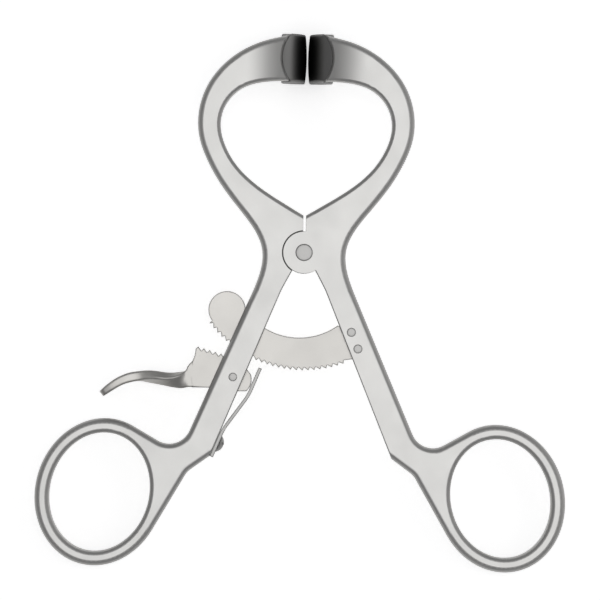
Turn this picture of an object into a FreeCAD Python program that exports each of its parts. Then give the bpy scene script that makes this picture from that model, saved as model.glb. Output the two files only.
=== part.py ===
"""Mouth gag: two ring-handled levers on a lap joint, a toothed bar and a sprung pawl lever.

The instrument lies in the XY plane. The pivot axis is Z through the origin, the jaws
point along +Y, the finger rings along -Y, and Z = 0 is the flat back of the levers.
"""
import FreeCAD, Part
import math
import os
from FreeCAD import Vector

# Levers, common to both halves
body_thickness = 5.0
waist_half_width = 9.4
waist_y = 0.4
stop_gap = 0.58
window_bottom = 8.3
window_top = 38.5
window_half_width = 19.2
arm_width = 5.1
jaw_width = 10.5
outer_edge_round = 1.2
window_edge_round = 0.8
handle_edge_round = 0.25

# Arm ends, which slope down towards the bite plates
slope_start_x = 14.5
slope_radius = 31.0
arm_end_x = 3.6
seat_bulge = 2.0
seat_bevel = 0.5

# Handles: a straight shank, then a finger ring
shank_angle = 22.4
shank_inner_offset = 1.33
shank_upper_width = 5.8
shank_upper_at = 14.4
shank_lower_width = 6.35
shank_lower_at = 43.7
crotch_angle = 32.5
crotch_blend_at = 9.6
crotch_blend_radius = 18.0
foot_at = 50.2
foot_slope = 36.0
foot_blend_radius = 4.0
ring_x = 44.95
ring_y = -54.4
ring_long_half = 13.45
ring_short_half = 11.15
ring_tilt = 14.7
ring_width = 3.2
ring_edge_round = 0.95
web_lower_slope = 59.9
web_upper_slope = 29.7
web_upper_radius = 5.0

# Lap joint and its pin
disc_radius = 4.75
disc_clearance = 0.12
lap_clearance = 0.06
pin_diameter = 3.2
pin_head_diameter = 3.65
pin_head_depth = 0.4
pin_clearance = 0.03

# Bite plates, brazed into the arm ends and bent away to the back
plate_gap = 0.3
plate_thickness = 2.2
plate_width = 10.8
plate_bend_radius = 8.9
plate_depth = 11.0
plate_step = 0.3
plate_crown_radius = 42.0
plate_edge_round = 0.5
lip_thickness = 1.25
lip_reach = 5.9
lip_corner = 1.7
serration_pitch = 1.0
serration_width = 0.84
serration_depth = 0.42
serration_count = 6

# Toothed bar, concentric with the pivot along its teeth
bar_thickness = 2.0
bar_tip_radius = 26.45
tooth_depth = 0.7
tooth_angle = 2.9
tooth_flank = 30.0
bar_tooth_count = 26
bar_back_radius = 14.9
bar_back_x = -1.0
bar_back_y = -4.2
lobe_radius = 4.15
lobe_at_radius = 21.5
lobe_angle = 52.5
tang_upper = 18.3
tang_lower = 26.2
tang_depth = 4.4
rivet_diameter = 1.8
rivet_inset = 2.0
rivet_upper_at = 20.5
rivet_lower_at = 24.5

# Slot through the left shank for the bar and the pawl
slot_clearance = 0.1
slot_upper_at = 16.0
slot_lower_at = 36.5

# Pawl lever, drawn as it stands when released
pawl_pin_at = 31.9
pawl_pin_inset = 2.25
pawl_pin_diameter = 1.7
pawl_thickness = 2.0
row_start_x = -7.9
row_start_y = 6.67
row_slope = 16.2
row_tooth_count = 6
pawl_tail_radius = 4.4
pawl_tail_relief = 0.35
pawl_heel_y = -2.5
pawl_tooth_clearance = 0.08
thumb_width = 6.2
thumb_thickness = 2.0
thumb_tip_thickness = 1.3
thumb_edge_round = 0.45

# Leaf spring and its screw
leaf_thickness = 0.8
leaf_width = 4.0
leaf_tip_at = 27.7
leaf_flat_from = 34.4
leaf_seat_to = 43.6
leaf_contact_gap = 0.04
screw_at = 47.0
screw_diameter = 2.0
screw_head_diameter = 3.8
screw_head_height = 1.1
screw_length = 4.6
screw_slot_width = 0.5
screw_slot_depth = 0.45

mid_z = body_thickness / 2
up = Vector(0, 0, 1)


def point(x, y, z=0.0):
    return Vector(x, y, z)


def polar(radius, degrees):
    """Point at an angle from straight down, positive towards +X."""
    a = math.radians(degrees)
    return point(radius * math.sin(a), -radius * math.cos(a))


def heading(degrees):
    """Unit vector at an angle from +X."""
    a = math.radians(degrees)
    return point(math.cos(a), math.sin(a))


def shank(along, out, z=0.0):
    """Point on the right handle: along the shank from the pivot, and out from its radial line."""
    a = math.radians(shank_angle)
    x = along * math.sin(a) + out * math.cos(a)
    return point(x, -along * math.cos(a) + out * math.sin(a), z)


def mirrored(shape):
    return shape.mirror(Vector(0, 0, 0), Vector(1, 0, 0))


def line(a, b):
    return Part.LineSegment(a, b).toShape()


def crossing(a, direction_a, b, direction_b):
    """Where two lines in the XY plane cross."""
    det = direction_a.x * direction_b.y - direction_a.y * direction_b.x
    t = ((b.x - a.x) * direction_b.y - (b.y - a.y) * direction_b.x) / det
    return a + direction_a * t


def path(points, radii):
    """Lines through the points, with each inner corner rounded by its radius."""
    edges = []
    start = points[0]
    for k, radius in enumerate(radii):
        corner = points[k + 1]
        if radius == 0:
            edges.append(line(start, corner))
            start = corner
            continue
        back = (points[k] - corner).normalize()
        ahead = (points[k + 2] - corner).normalize()
        half = back.getAngle(ahead) / 2
        cut = radius / math.tan(half)
        bisector = (back + ahead).normalize()
        middle = corner + bisector * (radius / math.sin(half) - radius)
        edges.append(line(start, corner + back * cut))
        edges.append(Part.Arc(corner + back * cut, middle, corner + ahead * cut).toShape())
        start = corner + ahead * cut
    edges.append(line(start, points[-1]))
    return edges


def spline(points, first=None, last=None):
    curve = Part.BSplineCurve()
    if first and last:
        curve.interpolate(Points=points, InitialTangent=first, FinalTangent=last, Scale=False)
    else:
        curve.interpolate(Points=points)
    return curve.toShape()


def prism(edges, z_from, z_to):
    """Solid between two heights over the closed outline of the edges."""
    face = Part.Face(Part.Wire(edges))
    face.translate(up * z_from)
    return face.extrude(up * (z_to - z_from))


def polygon(points):
    return [line(a, b) for a, b in zip(points, points[1:] + points[:1])]


def drum(radius, z_from, z_to, at=Vector(0, 0, 0)):
    return Part.makeCylinder(radius, z_to - z_from, at + up * z_from)


def rims(solid, wall_edges):
    """Edges of the solid that lie on the upright wall over an outline, apart from upright ones."""
    wall = Part.Compound([e.extrude(up * (body_thickness + 2)) for e in wall_edges])
    wall.translate(up * -1)
    found = []
    for edge in solid.Edges:
        ends = [v.Point for v in edge.Vertexes]
        if len(ends) == 2 and (ends[0] - ends[1]).cross(up).Length < 0.01:
            continue
        middle = edge.valueAt((edge.FirstParameter + edge.LastParameter) / 2)
        if Part.Vertex(middle).distToShape(wall)[0] < 0.001:
            found.append(edge)
    return found


# Finger ring: an ellipse whose top leans towards the instrument's axis
ring_centre = point(ring_x, ring_y)
ring_long = heading(90 + ring_tilt)
ring_short = heading(180 + ring_tilt)


def ring_ellipse(extra):
    a = ring_long_half + extra
    b = ring_short_half + extra
    return Part.Ellipse(ring_centre + ring_long * a, ring_centre + ring_short * b, ring_centre)


def ring_tangent(direction):
    """Parameter and point where the ring's outer edge runs in a direction."""
    a = ring_long_half + ring_width
    b = ring_short_half + ring_width
    t = math.atan2(-direction.dot(ring_long) / a, direction.dot(ring_short) / b)
    t = t % (2 * math.pi)
    return t, ring_centre + ring_long * (a * math.cos(t)) + ring_short * (b * math.sin(t))


# Outline of the right half, anticlockwise from the crotch between the handles
shank_outer_upper = shank(shank_upper_at, shank_inner_offset + shank_upper_width)
shank_outer_lower = shank(shank_lower_at, shank_inner_offset + shank_lower_width)
shank_outer_way = (shank_outer_upper - shank_outer_lower).normalize()
crotch = polar(disc_radius, crotch_angle)
crotch_blend = shank(crotch_blend_at, shank_inner_offset)
foot = shank(foot_at, shank_inner_offset)
lower_way = heading(-web_lower_slope)
lower_t, lower_point = ring_tangent(lower_way)
upper_way = heading(180 + web_upper_slope)
upper_t, upper_point = ring_tangent(upper_way)
foot_knee = crossing(foot, heading(-foot_slope), lower_point, lower_way)
notch = crossing(upper_point, upper_way, shank_outer_lower, shank_outer_way)
slot_face_x = stop_gap / 2
arm_end_top = point(arm_end_x, window_top + jaw_width)
arm_end_bottom = point(arm_end_x, window_top)

bow_half_width = window_half_width + arm_width
bow_height = window_top + jaw_width
bow_shape = [
    (0.609, 0.196), (0.780, 0.306), (0.909, 0.417), (0.987, 0.527),
    (0.984, 0.665), (0.897, 0.776), (0.691, 0.890), (0.383, 0.969),
]
window_height = window_top - window_bottom
window_shape = [
    (0.467, 0.175), (0.794, 0.355), (0.957, 0.533), (1.0, 0.652),
    (0.957, 0.797), (0.766, 0.934), (0.480, 0.990),
]

inner_edges = path(
    [point(slot_face_x, 0), crotch, crotch_blend, foot],
    [0, crotch_blend_radius],
)
lower_edges = path([foot, foot_knee, lower_point], [foot_blend_radius])
ring_edge = Part.ArcOfEllipse(ring_ellipse(ring_width), lower_t, upper_t + 2 * math.pi).toShape()
upper_edges = path([upper_point, notch, shank_outer_upper], [web_upper_radius])
bow_points = [point(u * bow_half_width, v * bow_height) for u, v in bow_shape]
bow_edge = spline(
    [shank_outer_upper, point(waist_half_width, waist_y)] + bow_points + [arm_end_top],
    shank_outer_way,
    heading(163),
)
window_start = point(slot_face_x, window_bottom)
window_points = [
    point(u * window_half_width, window_bottom + v * window_height) for u, v in window_shape
]
window_edge = spline([arm_end_bottom] + window_points[::-1] + [window_start])
end_edge = line(arm_end_top, arm_end_bottom)
stop_edge = line(window_start, point(slot_face_x, 0))
outer_chain = lower_edges + [ring_edge] + upper_edges + [bow_edge]


def half_blank():
    """Right half at full thickness, with rounded edges, before its lap joint."""
    outline = inner_edges + outer_chain + [end_edge, window_edge, stop_edge]
    blank = prism(outline, 0, body_thickness)
    slope_centre = point(slope_start_x, 0, body_thickness - slope_radius)
    slope = Part.makeCylinder(slope_radius, bow_height, slope_centre, Vector(0, 1, 0))
    corner = Part.makeBox(slope_start_x, bow_height, body_thickness, point(0, 0, 0))
    above = corner.cut(slope)
    above = above.common(Part.makeBox(100, 100, 50, point(0, window_bottom + window_height / 2, 0)))
    blank = blank.cut(above)
    blank = blank.makeFillet(outer_edge_round, rims(blank, outer_chain))
    blank = blank.makeFillet(window_edge_round, rims(blank, [window_edge]))
    blank = blank.makeFillet(handle_edge_round, rims(blank, inner_edges[1:]))
    opening = prism([ring_ellipse(0).toShape()], -1, body_thickness + 1)
    blank = blank.cut(opening)
    return blank.makeFillet(ring_edge_round, rims(blank, [ring_ellipse(0).toShape()]))


def lapped(blank, disc_in_front):
    """Half with its disc in one layer, and a socket for the other disc in the other."""
    disc_depth = mid_z - lap_clearance / 2
    socket_depth = mid_z + lap_clearance / 2
    disc_z = socket_depth if disc_in_front else 0
    socket_z = 0 if disc_in_front else disc_depth
    half = blank.cut(drum(disc_radius + disc_clearance, socket_z, socket_z + socket_depth))
    return half.fuse(drum(disc_radius, disc_z, disc_z + disc_depth)).removeSplitter()


def pin_shape(clearance):
    """Rivet-headed pivot pin, grown by a clearance."""
    shank_radius = pin_diameter / 2 + clearance
    head_radius = pin_head_diameter / 2 + clearance
    pin = drum(shank_radius, 0, body_thickness)
    back = Part.makeCone(head_radius, shank_radius, pin_head_depth)
    front = Part.makeCone(
        shank_radius, head_radius, pin_head_depth, up * (body_thickness - pin_head_depth)
    )
    return pin.fuse([back, front]).removeSplitter()


# Bite plate on the right: a crowned strip, bent through the arm end to point to the back
plate_y = window_top + jaw_width / 2
plate_low_y = plate_y - plate_width / 2
plate_face_x = plate_gap / 2
bend_centre_x = plate_face_x + plate_bend_radius
seat_x = arm_end_x + seat_bulge
slope_end_z = body_thickness - slope_radius + math.sqrt(
    slope_radius ** 2 - (slope_start_x - seat_x) ** 2
)
bend_reach = math.sqrt(plate_bend_radius ** 2 - (bend_centre_x - seat_x) ** 2)
bend_centre_z = slope_end_z - plate_step - bend_reach
bite_face_x = plate_face_x + plate_thickness


seat_low = point(arm_end_x, plate_low_y)
seat_high = point(arm_end_x, plate_low_y + plate_width)
seat_edge = Part.Arc(seat_low, point(seat_x, plate_y), seat_high).toShape()


def seat_column(z_from, z_to):
    """Upright column with a bowed face, which the arm end is seated against."""
    corners = [seat_high, point(-2, seat_high.y), point(-2, seat_low.y), seat_low]
    return prism([seat_edge] + [line(a, b) for a, b in zip(corners, corners[1:])], z_from, z_to)


def flank(points_xz, y_from, width):
    """Closed straight outline in the XZ plane, swept across the plate."""
    corners = [Vector(x, y_from, z) for x, z in points_xz]
    return Part.Face(Part.Wire(polygon(corners))).extrude(Vector(0, width, 0))


def bent_strip():
    """Flat strip that turns upwards through a quarter circle into the arm end."""
    centre = Vector(bend_centre_x, plate_low_y, bend_centre_z)
    inner_radius = plate_bend_radius - plate_thickness
    outer = Part.makeCylinder(plate_bend_radius, plate_width, centre, Vector(0, 1, 0))
    inner = Part.makeCylinder(inner_radius, plate_width, centre, Vector(0, 1, 0))
    reach = bend_centre_z + plate_bend_radius
    corner = Part.makeBox(
        plate_bend_radius, plate_width, reach - bend_centre_z,
        Vector(plate_face_x, plate_low_y, bend_centre_z),
    )
    tongue = Part.makeBox(
        plate_thickness, plate_width, bend_centre_z + plate_depth,
        Vector(plate_face_x, plate_low_y, -plate_depth),
    )
    return outer.cut(inner).common(corner).fuse(tongue).removeSplitter()


def long_edges(plate):
    """Outer edges of the back and of the lips, on the two narrow sides of the plate."""
    found = []
    for edge in plate.Edges:
        at = edge.CenterOfMass
        on_side = abs(abs(at.y - plate_y) - plate_width / 2) < 0.001
        on_back = at.x < plate_face_x + plate_thickness and at.z > -plate_depth
        on_lip = at.x > lip_reach - lip_corner and at.z < 0
        if on_side and edge.Length > plate_edge_round * 4 and (on_back or on_lip):
            found.append(edge)
    return found


def bite_plate():
    """Strip with a crowned back, a lip along each side and serrations between the lips."""
    crown_axis = Vector(plate_face_x + plate_crown_radius, plate_y, -plate_depth)
    crown = Part.makeCylinder(plate_crown_radius, plate_depth + body_thickness, crown_axis)
    strip = bent_strip().common(seat_column(-plate_depth, body_thickness)).common(crown)
    middle_x = plate_face_x + plate_thickness / 2
    lip = [
        (middle_x, -plate_depth),
        (lip_reach - lip_corner, -plate_depth),
        (lip_reach, lip_corner - plate_depth),
        (lip_reach, 0),
        (arm_end_x, 0),
        (middle_x, bend_centre_z),
    ]
    upper_y = plate_low_y + plate_width - lip_thickness
    lips = [flank(lip, y, lip_thickness) for y in (plate_low_y, upper_y)]
    plate = strip.fuse(lips).removeSplitter()
    grooves = []
    for k in range(serration_count):
        z = -plate_depth + serration_pitch * (k + 0.65)
        groove = [
            (bite_face_x - serration_depth, z),
            (bite_face_x + serration_depth, z - serration_width),
            (bite_face_x + serration_depth, z + serration_width),
        ]
        grooves.append(flank(groove, plate_low_y + lip_thickness, plate_width - 2 * lip_thickness))
    plate = plate.makeFillet(plate_edge_round, long_edges(plate))
    return plate.cut(grooves)


def with_seat(half):
    """Arm end cut back to the plate's seat, with a bevelled rim along the front of it."""
    half = half.cut(seat_column(-1, body_thickness + 1))
    front = [e for e in rims(half, [seat_edge]) if e.CenterOfMass.z > mid_z + seat_bevel]
    return half.makeChamfer(seat_bevel, front)


# Toothed bar, with tips and valleys by formula
valley_radius = bar_tip_radius - tooth_depth
steep_angle = math.degrees(tooth_depth * math.tan(math.radians(tooth_flank)) / bar_tip_radius)

pawl_pin_offset = shank_inner_offset + pawl_pin_inset
pawl_pin_point = shank(pawl_pin_at, pawl_pin_offset)
pawl_centre = point(-pawl_pin_point.x, pawl_pin_point.y)


def engaged_turn():
    """Degrees that the pawl turns until its first tooth tip reaches the valleys."""
    first = point(row_start_x, row_start_y)
    reach = first.Length
    distance = pawl_centre.Length
    goal = valley_radius + pawl_tooth_clearance
    cosine = (distance ** 2 + reach ** 2 - goal ** 2) / (2 * distance * reach)
    at_rest = math.degrees(first.getAngle(pawl_centre * -1))
    return at_rest - math.degrees(math.acos(cosine))


pawl_turn = engaged_turn()


def engaged_angle():
    """Angle from straight down of the pawl's first tooth tip when it is engaged."""
    tip = FreeCAD.Rotation(up, -pawl_turn).multVec(point(row_start_x, row_start_y)) + pawl_centre
    return math.degrees(math.atan2(tip.x, -tip.y))


first_valley = engaged_angle() - math.degrees(pawl_tooth_clearance / valley_radius)


def toothed_edge(first_angle, count):
    """Sawtooth corners, starting and ending in a valley."""
    corners = [polar(valley_radius, first_angle)]
    for k in range(count):
        valley = first_angle + (k + 1) * tooth_angle
        corners.append(polar(bar_tip_radius, valley - steep_angle))
        corners.append(polar(valley_radius, valley))
    return corners


def ratchet_bar():
    z = (mid_z - bar_thickness / 2, mid_z + bar_thickness / 2)
    teeth_before = int((lobe_angle + first_valley) / tooth_angle) + 1
    start = first_valley - teeth_before * tooth_angle
    teeth = toothed_edge(start, bar_tooth_count)
    root_end = shank(tang_lower, shank_inner_offset)
    tang_far = shank_inner_offset + tang_depth
    corners = teeth + [root_end, shank(tang_lower, tang_far)]
    corners += [shank(tang_upper, tang_far), shank(tang_upper, shank_inner_offset)]
    fan = prism(polygon(corners + [polar(lobe_at_radius / 2, -lobe_angle)]), *z)
    back = point(bar_back_x, bar_back_y)
    fan = fan.cut(drum(bar_back_radius, z[0] - 1, z[1] + 1, back))
    lobe_centre = polar(lobe_at_radius, -lobe_angle)
    trim_out = polar(2 * bar_tip_radius, -lobe_angle)
    trim = polygon([
        point(0, 0), trim_out, trim_out + polar(60, -90 - lobe_angle), polar(60, -90 - lobe_angle)
    ])
    fan = fan.cut(prism(trim, z[0] - 1, z[1] + 1))
    bar = fan.fuse(drum(lobe_radius, z[0], z[1], lobe_centre)).removeSplitter()
    for along in (rivet_upper_at, rivet_lower_at):
        bar = bar.cut(rivet(along))
    return bar


def rivet(along):
    at = shank(along, shank_inner_offset + rivet_inset)
    return drum(rivet_diameter / 2, 0, body_thickness, at)


def tang_slot():
    """Blind slot in the right shank that holds the bar's tang."""
    far = shank_inner_offset + tang_depth
    corners = [
        shank(tang_upper, 0), shank(tang_lower, 0),
        shank(tang_lower, far), shank(tang_upper, far),
    ]
    return prism(polygon(corners), mid_z - bar_thickness / 2, mid_z + bar_thickness / 2)


def through_slot():
    """Slot in the left shank, drawn on the right and mirrored, open on both edges."""
    width = shank_inner_offset + shank_lower_width + 5
    corners = [
        shank(slot_upper_at, -2), shank(slot_lower_at, -2),
        shank(slot_lower_at, width), shank(slot_upper_at, width),
    ]
    half_slot = max(bar_thickness, pawl_thickness) / 2 + slot_clearance
    return mirrored(prism(polygon(corners), mid_z - half_slot, mid_z + half_slot))


def row_corners():
    """Pawl teeth from the outer end inward, in the pawl's own frame."""
    pitch = math.radians(tooth_angle) * bar_tip_radius
    along = heading(-row_slope)
    inward = heading(90 - row_slope)
    steep = tooth_depth * math.tan(math.radians(tooth_flank))
    start = point(row_start_x, row_start_y)
    corners = []
    for k in range(row_tooth_count):
        tip = start + along * (k * pitch)
        corners.append(tip - along * steep - inward * tooth_depth)
        corners.append(tip)
    return corners + [start + along * (row_tooth_count * pitch - steep) - inward * tooth_depth]


def thumb_section(x, y, turn, width, thickness, twist):
    """Rounded strip section, square to the lever, twisted about its length."""
    r = thumb_edge_round
    w = width / 2
    t = thickness / 2
    corners = [(-w, -t), (w, -t), (w, t), (-w, t)]
    edges = []
    diagonal = r * (1 - math.sqrt(0.5))
    for k, (a, b) in enumerate(corners):
        c, d = corners[(k + 1) % 4]
        step_x = (c > a) - (c < a)
        step_y = (d > b) - (d < b)
        turn_x, turn_y = -step_y, step_x
        first = Vector(a + step_x * r, b + step_y * r, 0)
        second = Vector(c - step_x * r, d - step_y * r, 0)
        middle = Vector(
            c - step_x * diagonal + turn_x * diagonal, d - step_y * diagonal + turn_y * diagonal, 0
        )
        third = Vector(c + turn_x * r, d + turn_y * r, 0)
        edges.append(line(first, second))
        edges.append(Part.Arc(second, middle, third).toShape())
    wire = Part.Wire(edges)
    wire.rotate(Vector(0, 0, 0), up, twist)
    wire.rotate(Vector(0, 0, 0), Vector(0, 1, 0), 90)
    wire.rotate(Vector(0, 0, 0), up, turn)
    wire.translate(Vector(x, y, mid_z))
    return wire


def pawl_lever():
    tail = pawl_tail_radius
    flat = tail - pawl_tail_relief
    outline = row_corners()
    edges = [line(a, b) for a, b in zip(outline, outline[1:])]
    tail_top = polar(flat, 90 + 8)
    tail_nose = polar(tail, 90 - 24)
    tail_low = polar(tail, 90 - 46)
    heel = point(1.2, -3.2)
    edges.append(spline([outline[-1], point(0.9, 3.6), point(2.9, 2.0), tail_top]))
    edges.append(Part.Arc(tail_top, polar((tail + flat) / 2, 90 - 8), tail_nose).toShape())
    edges.append(Part.Arc(tail_nose, polar(tail, 90 - 35), tail_low).toShape())
    edges += path([tail_low, heel, point(-4.9, pawl_heel_y), point(-9.9, pawl_heel_y)], [1.0, 0])
    neck = point(-9.9, 1.55)
    edges.append(line(point(-9.9, pawl_heel_y), neck))
    edges.append(spline([neck, point(-9.3, 3.05), point(-8.75, 4.4), outline[0]]))
    z = (mid_z - pawl_thickness / 2, mid_z + pawl_thickness / 2)
    plate = prism(edges, *z)
    stations = [
        (-9.2, -0.48, 180, 4.05, pawl_thickness, 90),
        (-11.2, -0.55, 180, 4.4, pawl_thickness, 34),
        (-13.1, -0.70, 178, 5.0, pawl_thickness, 20),
        (-15.0, -0.60, 174, 5.5, pawl_thickness, 12),
        (-17.0, -0.22, 170, 6.0, pawl_thickness, 6),
        (-19.2, 0.0, 180, thumb_width, 2.2, 0),
        (-21.4, -0.18, 189, thumb_width, 2.1, 0),
        (-23.7, -0.72, 199, thumb_width, thumb_thickness, 0),
        (-26.1, -1.75, 207, thumb_width, thumb_thickness, 0),
        (-28.0, -2.95, 215, thumb_width - 0.3, 1.7, 0),
        (-29.6, -4.35, 223, thumb_width - 1.0, thumb_tip_thickness, 0),
    ]
    thumb = Part.makeLoft([thumb_section(*s) for s in stations], True, False)
    lever = plate.fuse(thumb).removeSplitter()
    lever.translate(pawl_centre)
    return lever.cut(drum(pawl_pin_diameter / 2 + pin_clearance, 0, body_thickness, pawl_centre))


def leaf_spring():
    """Leaf in shank coordinates: flat on the shank, lifted, then flat against the pawl's tail."""
    seat = shank_inner_offset
    lift = pawl_pin_offset - pawl_tail_radius - leaf_contact_gap - leaf_thickness
    stations = [
        (foot_at, seat - leaf_thickness), (leaf_seat_to, seat - leaf_thickness),
        (leaf_flat_from, lift), (leaf_tip_at, lift),
    ]
    back = [shank(a, o) for a, o in stations]
    front = [shank(a, o + leaf_thickness) for a, o in stations]
    radii = [12.0, 12.0]
    far = path(back, radii)
    near = path(front[::-1], radii)
    ends = [line(back[-1], front[-1]), line(front[0], back[0])]
    z_low = mid_z - leaf_width / 2
    leaf = mirrored(prism(far + [ends[0]] + near + [ends[1]], z_low, z_low + leaf_width))
    return leaf.cut(screw(screw_length))


def screw(length):
    """Domed slotted screw, driven square into the left shank's inner edge."""
    out = shank(0, 1).normalize()
    seat = shank(screw_at, shank_inner_offset - leaf_thickness, mid_z)
    body = Part.makeCylinder(screw_diameter / 2, length, seat, out)
    dome_radius = (screw_head_diameter ** 2 / 4 + screw_head_height ** 2) / (2 * screw_head_height)
    ball = Part.makeSphere(dome_radius, seat + out * (dome_radius - screw_head_height))
    cap = Part.makeCylinder(screw_head_diameter / 2, screw_head_height, seat, out * -1)
    shape = body.fuse(ball.common(cap)).removeSplitter()
    slot = Part.makeBox(screw_head_diameter, screw_slot_width, screw_slot_depth)
    slot.translate(Vector(-screw_head_diameter / 2, -screw_slot_width / 2, 0))
    slot.Placement = FreeCAD.Placement(
        seat - out * screw_head_height, FreeCAD.Rotation(up, out)
    ).multiply(slot.Placement)
    return mirrored(shape.cut(slot))


os.makedirs("parts", exist_ok=True)

blank = with_seat(half_blank())
bar = ratchet_bar()
pivot_pin = pin_shape(0)
left_screw = screw(screw_length)
pawl_pin = drum(pawl_pin_diameter / 2, 0, body_thickness, pawl_centre)
upper_rivet = rivet(rivet_upper_at)
lower_rivet = rivet(rivet_lower_at)

right_plate = bite_plate()

right_half = lapped(blank, True).cut(pin_shape(pin_clearance))
right_half = right_half.cut([tang_slot(), upper_rivet, lower_rivet])
left_half = lapped(mirrored(blank), False).cut(pivot_pin)
left_half = left_half.cut([through_slot(), pawl_pin, left_screw])

nodes = {
    "left_half": left_half,
    "right_half": right_half,
    "left_bite_plate": mirrored(right_plate),
    "right_bite_plate": right_plate,
    "pivot_pin": pivot_pin,
    "ratchet_bar": bar,
    "bar_rivet_upper": upper_rivet,
    "bar_rivet_lower": lower_rivet,
    "pawl_lever": pawl_lever(),
    "pawl_pin": pawl_pin,
    "leaf_spring": leaf_spring(),
    "spring_screw": left_screw,
}
for name, shape in nodes.items():
    print(name, shape.isValid(), len(shape.Solids), round(shape.Volume, 2))
    shape.exportStep("parts/" + name + ".step")
print("pawl turns", round(pawl_turn, 3), "first valley", round(first_valley, 3))
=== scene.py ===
"""Ring-handled mouth gag in satin steel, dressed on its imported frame.

Every length is in metres and in the frame's own axes: +Y to the jaws, +Z to the front.
"""

import math

import bmesh
import bpy
from bpy.props import FloatProperty, FloatVectorProperty, IntProperty, PointerProperty
from mathutils import Matrix, Vector


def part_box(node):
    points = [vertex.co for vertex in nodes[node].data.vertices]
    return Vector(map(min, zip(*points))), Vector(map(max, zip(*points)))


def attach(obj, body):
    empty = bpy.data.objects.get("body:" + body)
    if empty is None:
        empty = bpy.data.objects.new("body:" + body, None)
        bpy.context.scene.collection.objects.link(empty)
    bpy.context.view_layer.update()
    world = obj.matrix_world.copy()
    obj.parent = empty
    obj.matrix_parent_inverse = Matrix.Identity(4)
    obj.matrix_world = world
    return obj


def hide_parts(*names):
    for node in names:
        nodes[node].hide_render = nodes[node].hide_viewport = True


bl_info = {
    "name": "Satin Steel Mouth Gag",
    "version": (1, 0, 0),
    "blender": (4, 5, 0),
    "location": "View3D > Sidebar > Mouth Gag",
    "description": "Finishes the levers, bite plates, ratchet and pins, and sets the stage",
    "category": "Object",
}

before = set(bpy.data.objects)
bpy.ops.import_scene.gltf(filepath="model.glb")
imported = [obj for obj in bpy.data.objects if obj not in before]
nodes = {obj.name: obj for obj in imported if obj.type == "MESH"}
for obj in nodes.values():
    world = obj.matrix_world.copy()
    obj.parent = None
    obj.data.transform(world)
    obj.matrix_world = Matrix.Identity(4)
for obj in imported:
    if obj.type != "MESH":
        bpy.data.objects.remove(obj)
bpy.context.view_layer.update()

MM = 0.001

# Photograph: a square, taken from straight in front of the flat levers
FRAME_PIXELS = 600
PIXEL = 0.2243 * MM
PIVOT_ABOVE_CENTRE = 47.4
PIVOT_RIGHT_OF_CENTRE = 4.1
PHOTO_ROLL = math.radians(1.0)
SENSOR = 36 * MM
LEVER_MIDDLE = 2.5 * MM

# Flush pins, in (node, radius of its head, body that it is fixed to)
PIN_HEADS = [
    ("pivot_pin", 1.825 * MM, "left_lever"),
    ("pawl_pin", 0.85 * MM, "left_lever"),
    ("bar_rivet_upper", 0.9 * MM, "right_lever"),
    ("bar_rivet_lower", 0.9 * MM, "right_lever"),
]

# Thumb blade from the pin outwards, in (x, y, twist in degrees, width, thickness), x and y in
# millimetres from the pawl pin; a twist of 90 lies flat with the toothed plate, and the first
# row lies inside the plate and only sets how the blade leaves it
BLADE_STATIONS = [
    (-8.9, 0.78, 90, 6.56, 2.0),
    (-9.2, 0.40, 90, 5.8, 2.0),
    (-9.5, 0.02, 90, 5.04, 2.0),
    (-9.9, -0.38, 90, 4.24, 2.0),
    (-10.5, -0.68, 89, 3.64, 2.0),
    (-11.3, -0.87, 77, 3.5, 2.0),
    (-12.2, -0.95, 63, 3.4, 2.0),
    (-13.5, -0.93, 50, 3.1, 2.0),
    (-15.1, -0.76, 37, 3.0, 2.0),
    (-16.9, -0.48, 25, 3.4, 2.0),
    (-18.8, -0.27, 13, 4.5, 2.05),
    (-20.7, -0.20, 3, 5.7, 2.15),
    (-22.9, -0.48, 0, 6.2, 2.15),
    (-25.2, -1.33, 0, 6.2, 2.0),
    (-27.5, -2.80, 0, 5.9, 1.8),
    (-29.4, -4.30, 0, 5.1, 1.4),
]
BLADE_CUT = -9.15 * MM
BLADE_RINGS = 78
BLADE_ROUND = 0.42 * MM
ROUNDING_ROWS = 5
SETTLING_ROWS = 6
TIP_ROWS = 0.35
TIP_NARROWING = 0.8
FLAT_POINTS = (0.06, 0.5, 0.94)
PATH_STEP = 0.05
SHARP_ANGLE = math.radians(32)

# Finish and painted shade: noise in repeats per metre, shares of the steel's brightness, angles in
# radians
CLOUDS = 160.0
GRAIN_PART = 0.55
# Painted shade along sharp edges: size and lift of its patches, and the gain of the edge mask
EDGE_PATCHES = 900.0
PATCH_LIFT = 0.35
EDGE_GAIN = 6.0
HAIRLINES = (9000.0, 350.0, 350.0)
HAIRLINE_LEVEL = 0.62
HAIRLINE_GAIN = 9.0
HAIRLINE_HEIGHT = -0.5
HAIRLINE_POLISH = -0.05
COLOUR_VARIATION = 0.14
ROUGHNESS_VARIATION = 0.12
RIM_ROUGHENING = 0.2
BUMP_HEIGHT = 0.012 * MM
# Painted shade: a dark line along the joint seam, its share and width
SEAM_SHADE_SHARE = 0.06
SEAM_WIDTH = 0.1 * MM
# Painted shade of the bite plates towards the gap between them: share, reach and start
GAP_SHADE_SHARE = 0.12
GAP_REACH = 3.4 * MM
GAP_START = 1.15
MILLED_TINT = (0.97, 0.955, 0.935)
# How much stronger the painted edge shade is on the milled and rolled parts
WORN_AND_SHADED_EDGES = 1.4
SPRING_TONE = 0.7
PIN_TONE = 0.74
SHANK_LEAN = 0.39
BAR_LINES = 1.1
PAWL_LINES = 1.45

# Pin ends, turned with a small flat at the top
HEAD_SIDES = 48
HEAD_FLAT = 0.12

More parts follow.
